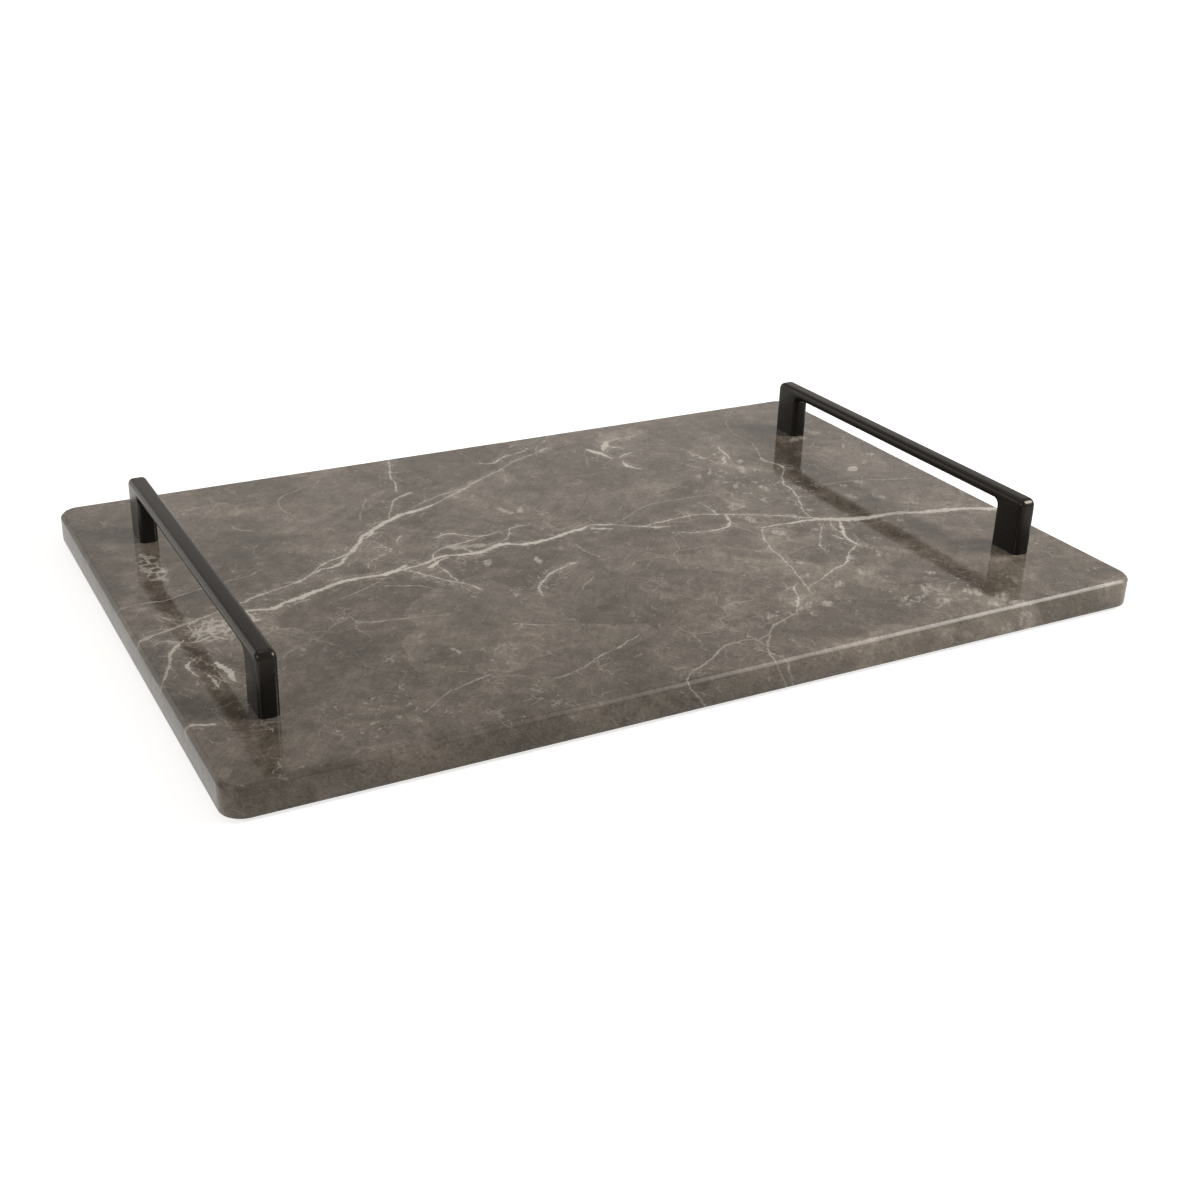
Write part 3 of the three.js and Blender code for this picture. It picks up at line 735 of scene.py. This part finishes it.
def moved(geometry, height):
    lift = follow("ShaderNodeCombineXYZ", {2: height}).outputs[0]
    return follow("GeometryNodeTransform", {"Geometry": geometry, "Translation": lift}).outputs[0]


def circle(radius, sides):
    return follow("GeometryNodeCurvePrimitiveCircle", {"Resolution": sides, "Radius": radius}).outputs[0]


def swept(path, section):
    return follow("GeometryNodeCurveToMesh", {"Curve": path, "Profile Curve": section}).outputs[0]


def four_up(sockets, piece):
    """Stands a piece at the four corners of a rectangle, as one finished mesh."""
    grid = follow("GeometryNodeMeshGrid", {
        "Size X": sockets["Spacing X"], "Size Y": sockets["Spacing Y"], "Vertices X": 2, "Vertices Y": 2})
    placed = follow("GeometryNodeInstanceOnPoints", {"Points": grid.outputs["Mesh"], "Instance": piece})
    real = follow("GeometryNodeRealizeInstances", {0: placed.outputs[0]}).outputs[0]
    done = follow("GeometryNodeSetMaterial", {
        "Geometry": moved(real, sockets["Level"]), "Material": sockets["Finish"]})
    follow("NodeGroupOutput", {0: done.outputs[0]})


def made_set(name, tree, sizes, material, sharp_degrees):
    """Runs a geometry tree with its sizes in millimetres, and keeps the result as a plain mesh object."""
    holder = bpy.data.objects.new(name, bpy.data.meshes.new(name + "_start"))
    bpy.context.collection.objects.link(holder)
    modifier = holder.modifiers.new("set", "NODES")
    modifier.node_group = tree
    for socket in tree.interface.items_tree:
        if socket.in_out == "INPUT":
            modifier[socket.identifier] = material if socket.name == "Finish" else sizes[socket.name] * MM
    bpy.context.view_layer.update()
    built = holder.evaluated_get(bpy.context.evaluated_depsgraph_get())
    mesh = bpy.data.meshes.new_from_object(built)
    holder.modifiers.remove(modifier)
    holder.data = mesh
    mesh.shade_smooth()
    mesh.set_sharp_from_angle(angle=math.radians(sharp_degrees))
    return holder


washer_tree, washer_in = set_tree("Washer set", washer_sizes)
washer_across = plus(washer_in["Diameter"], washer_in["Bore"])
washer_path = circle(times(washer_across, 0.25), sides=48)
washer_band = calc("SUBTRACT", washer_in["Diameter"], washer_in["Bore"])
washer_section = follow("GeometryNodeCurvePrimitiveQuadrilateral", {
    "Width": times(washer_band, 0.5), "Height": washer_in["Thickness"]}).outputs[0]
washer_middle = times(washer_in["Thickness"], 0.5)
washer_ring = swept(washer_path, washer_section)
four_up(washer_in, moved(washer_ring, washer_middle))

zinc_plate, zinc_shader, zinc_place = finish_material("Zinc-plated steel")
zinc_cloud = cloud(zinc_place, 500, 4, 0.6)
zinc_scratch = cloud(shift("MULTIPLY", zinc_place, (1, 14, 1)), 600, 3, 0.6)
feed(zinc_shader, {
    "Base Color": blend(zinc_cloud, (0.50, 0.50, 0.49, 1), (0.66, 0.67, 0.68, 1)),
    "Roughness": calc("MULTIPLY_ADD", zinc_scratch, 0.25, 0.2),
    "Metallic": 1.0,
    "Normal": relief_normal(zinc_scratch, relief=0.008)})

washers = made_set("handle_washers", washer_tree, washer_sizes, zinc_plate, sharp_degrees=40)
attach(washers, "root")
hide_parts(*[f"screw_washer_{corner}" for corner in corners])


# Handle screws.
# Four zinc-plated M4 machine screws with a pan head and a cross recess. They come up through the slab
# from below and thread into the handle posts; only the heads can be seen, down in the counterbores.

screw_sizes = {
    "Spacing X": screw_spacing_x, "Spacing Y": screw_spacing_y, "Level": washer_level,
    "Shank Diameter": 4, "Shank Length": 19.8, "Tip Chamfer": 0.6, "Head Diameter": 8, "Head Height": 3,
    "Head Rounding": 1.2, "Slot Length": 4.4, "Slot Width": 1.1, "Slot Depth": 1.6}


def cone(low_radius, high_radius, height, sides=40):
    return follow("GeometryNodeMeshCone", {
        "Vertices": sides, "Radius Bottom": low_radius, "Radius Top": high_radius, "Depth": height}).outputs["Mesh"]


def joined(pieces):
    together = add(pieces[0].id_data, "GeometryNodeJoinGeometry")
    for piece in pieces:
        feed(together, {0: piece})
    return together.outputs[0]


def combined(operation, pieces, cutters=()):
    """A boolean of closed meshes: a union of the pieces, or the first piece less the cutters."""
    made = add(pieces[0].id_data, "GeometryNodeMeshBoolean", operation=operation, solver="EXACT")
    for piece in pieces:
        feed(made, {"Mesh 1" if operation == "DIFFERENCE" else "Mesh 2": piece})
    for cutter in cutters:
        feed(made, {"Mesh 2": cutter})
    return made.outputs["Mesh"]


def rounded_disc(diameter, top_diameter, height, rounding, core_share=0.75):
    """A disc that stands on Z = 0, with its bottom edge rounded."""
    low_radius = times(diameter, 0.5)
    high_radius = times(top_diameter, 0.5)
    core_radius = calc("SUBTRACT", low_radius, rounding)
    wall = moved(cone(low_radius, high_radius, calc("SUBTRACT", height, rounding)), rounding)
    core = cone(core_radius, core_radius, times(height, core_share))
    rim = swept(circle(core_radius, sides=40), circle(rounding, sides=24))
    return combined("UNION", [wall, core, moved(rim, rounding)])


screw_tree, screw_in = set_tree("Screw set", screw_sizes)
head = rounded_disc(
    screw_in["Head Diameter"], screw_in["Head Diameter"], screw_in["Head Height"], screw_in["Head Rounding"])
slot_height = times(screw_in["Slot Depth"], 2.0)
slots = []
for across, along in (("Slot Length", "Slot Width"), ("Slot Width", "Slot Length")):
    slot_size = follow("ShaderNodeCombineXYZ", {0: screw_in[across], 1: screw_in[along], 2: slot_height})
    slots.append(follow("GeometryNodeMeshCube", {"Size": slot_size.outputs[0]}).outputs[0])
head = combined("DIFFERENCE", [head], slots)
head = moved(head, times(screw_in["Head Height"], -1.0))
shank_radius = times(screw_in["Shank Diameter"], 0.5)
tip_radius = calc("SUBTRACT", shank_radius, screw_in["Tip Chamfer"])
plain_length = calc("SUBTRACT", screw_in["Shank Length"], screw_in["Tip Chamfer"])
shank = cone(shank_radius, shank_radius, plain_length)
tip = moved(cone(shank_radius, tip_radius, screw_in["Tip Chamfer"]), plain_length)
four_up(screw_in, joined([head, shank, tip]))

screws = made_set("handle_screws", screw_tree, screw_sizes, zinc_plate, sharp_degrees=35)
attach(screws, "root")
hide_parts(*[f"handle_screw_{corner}" for corner in corners])


# Rubber feet.
# Four low moulded discs of black rubber, stuck to the sawn underside near the corners. They keep the
# stone off the table and stop it sliding.

foot_sizes = {
    "Spacing X": 386, "Spacing Y": 252, "Level": 0, "Diameter": 14, "Top Diameter": 12.6,
    "Height": slab_bottom, "Edge Rounding": 0.5}
foot_tree, foot_in = set_tree("Foot set", foot_sizes)
foot = rounded_disc(foot_in["Diameter"], foot_in["Top Diameter"], foot_in["Height"], foot_in["Edge Rounding"])
four_up(foot_in, foot)

foot_rubber, rubber_shader, rubber_place = finish_material("Matt black rubber")
rubber_bloom = cloud(rubber_place, 350, 4, 0.6)
rubber_pores = cloud(rubber_place, 2600, 2, 0.6)
feed(rubber_shader, {
    "Base Color": blend(rubber_bloom, (0.010, 0.010, 0.010, 1), (0.024, 0.024, 0.023, 1)),
    "Roughness": calc("MULTIPLY_ADD", rubber_pores, 0.2, 0.7),
    "Normal": relief_normal(rubber_pores, relief=0.03)})

feet = made_set("rubber_feet", foot_tree, foot_sizes, foot_rubber, sharp_degrees=35)
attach(feet, "root")
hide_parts(*[f"rubber_foot_{corner}" for corner in corners])


# Studio.
# A white floor that keeps a soft shadow and lights the tray's underside, a pale surround that dims
# overhead, and four soft lamps, the strongest on the right. From below, the floor can be looked through.


def seen_rays(path, mirrored_share):
    """How fully a ray shows the white background: from the camera and through glass, and partly in gloss."""
    mirrored = times(path["Is Glossy Ray"], mirrored_share)
    return layered("MAXIMUM", path["Is Camera Ray"], mirrored, path["Is Transmission Ray"])


floor_corners = [(-18, -10, 0), (18, -10, 0), (0, 20, 0)]
floor_mesh = bpy.data.meshes.new("floor")
floor_mesh.from_pydata(floor_corners, [], [(0, 1, 2)])
floor = bpy.data.objects.new("floor", floor_mesh)
bpy.context.collection.objects.link(floor)
floor_paint = bpy.data.materials.new("White floor")
floor_paint.use_nodes = True
floor_tree = floor_paint.node_tree
floor_tree.nodes.clear()
floor_place = add(floor_tree, "ShaderNodeTexCoord").outputs["Object"]
# Seen in gloss, the floor's glow is painted brighter in a pool to the left of the tray, a painted pool of light;
# elsewhere it shows in gloss at a lower share.
painted_light_pool, painted_pool_share, round_share = (-0.3, 0.03, 0.24, 0.7, 0), 1.0, 0.4
floor_painted_pool = ease(spots(floor_place, [painted_light_pool]), 0.0, 0.3, round_share, painted_pool_share)
floor_away = measure("DISTANCE", floor_place, (0, 0, 0))
near_strength, far_strength = 0.72, 1.05
floor_white = ease(floor_away, 0.5, 1.5, near_strength, far_strength)
floor_path = add(floor_tree, "ShaderNodeLightPath").outputs
floor_strength = times(seen_rays(floor_path, floor_painted_pool), floor_white)
floor_axes = follow("ShaderNodeSeparateXYZ", {0: floor_place}).outputs
under_tray, under_fade, under_strength = floor_path["Is Diffuse Ray"], 6 * MM, 0.6
for axis, reach in ((0, slab_length / 2 * MM), (1, slab_width / 2 * MM)):
    off_centre = calc("ABSOLUTE", floor_axes[axis])
    inside = ease(off_centre, reach, reach - under_fade)
    under_tray = times(under_tray, inside)
floor_strength = calc("MULTIPLY_ADD", under_tray, under_strength, floor_strength)
floor_matt = add(floor_tree, "ShaderNodeBsdfDiffuse", {"Color": (0.5, 0.5, 0.5, 1)})
floor_glow = follow("ShaderNodeEmission", {"Color": (1, 1, 1, 1), "Strength": floor_strength})
floor_both = follow("ShaderNodeAddShader", {0: floor_matt.outputs[0], 1: floor_glow.outputs[0]})
floor_clear = add(floor_tree, "ShaderNodeBsdfTransparent")
floor_side = add(floor_tree, "ShaderNodeNewGeometry").outputs["Backfacing"]
floor_mix = follow("ShaderNodeMixShader", {0: floor_side, 1: floor_both.outputs[0], 2: floor_clear.outputs[0]})
follow("ShaderNodeOutputMaterial", {"Surface": floor_mix.outputs[0]})
floor_mesh.materials.append(floor_paint)

world = bpy.data.worlds.new("Pale studio")
bpy.context.scene.world = world
world.use_nodes = True
sky = world.node_tree
sky.nodes.clear()
sky_place = add(sky, "ShaderNodeTexCoord").outputs["Generated"]
sky_height = follow("ShaderNodeSeparateXYZ", {0: sky_place}).outputs[2]
sky_rise, sky_dimming = ease(sky_height, 0.1, 0.26, 0.24, 0.64), ease(sky_height, 0.32, 0.65, 0, 0.3)
surround = follow("ShaderNodeBackground", {
    "Color": (1, 0.925, 0.85, 1), "Strength": calc("SUBTRACT", sky_rise, sky_dimming)})
sky_path = add(sky, "ShaderNodeLightPath").outputs
seen_white = add(sky, "ShaderNodeBackground", {"Color": (1, 1, 1, 1), "Strength": 1.0})
sky_mix = follow("ShaderNodeMixShader", {
    0: seen_rays(sky_path, mirrored_share=0.12), 1: surround.outputs[0], 2: seen_white.outputs[0]})
follow("ShaderNodeOutputWorld", {"Surface": sky_mix.outputs[0]})

lamp_colour = (1, 0.96, 0.91)
for lamp_name, place, aim, size, watts in (
        ("right softbox", (1.1, -0.62, 0.98), (0.05, 0, 0.02), 0.6, 27),
        ("left softbox", (-1.4, -0.35, 0.8), (-0.1, 0, 0.02), 0.35, 4.5),
        ("low back softbox", (-1.25, 1.7, 0.42), (-0.2, 0, 0.02), 1.2, 4.6),
        ("overhead softbox", (-0.2, 0.5, 1.9), (0, 0, 0.02), 1.4, 5)):
    lamp_data = bpy.data.lights.new(lamp_name, "AREA")
    lamp_data.size, lamp_data.energy, lamp_data.color = size, watts, lamp_colour
    lamp = bpy.data.objects.new(lamp_name, lamp_data)
    lamp.location = place
    lamp.visible_camera = False
    lamp.rotation_euler = (Vector(aim) - Vector(place)).to_track_quat("-Z", "Y").to_euler()
    bpy.context.collection.objects.link(lamp)


# Camera.
# Stands to the front left of the tray and looks down on it, as the photograph does. Its place and turns
# come from a fit to the tray's edges.

camera_place = (-0.34405, -0.63919, 0.32715)
camera_yaw, camera_pitch, camera_roll = 0.4813, 0.4419, 0.0211
camera_data = bpy.data.cameras.new("camera")
camera_data.sensor_width = 36
camera_data.lens = 47.54
camera_data.shift_x = 0.0333
camera = bpy.data.objects.new("camera", camera_data)
turned = (Matrix.Rotation(-camera_yaw, 4, "Z") @ Matrix.Rotation(math.pi / 2 - camera_pitch, 4, "X")
          @ Matrix.Rotation(camera_roll, 4, "Z"))
camera.matrix_world = Matrix.Translation(camera_place) @ turned
bpy.context.collection.objects.link(camera)
bpy.context.scene.camera = camera
bpy.context.scene.view_settings.view_transform = "Standard"
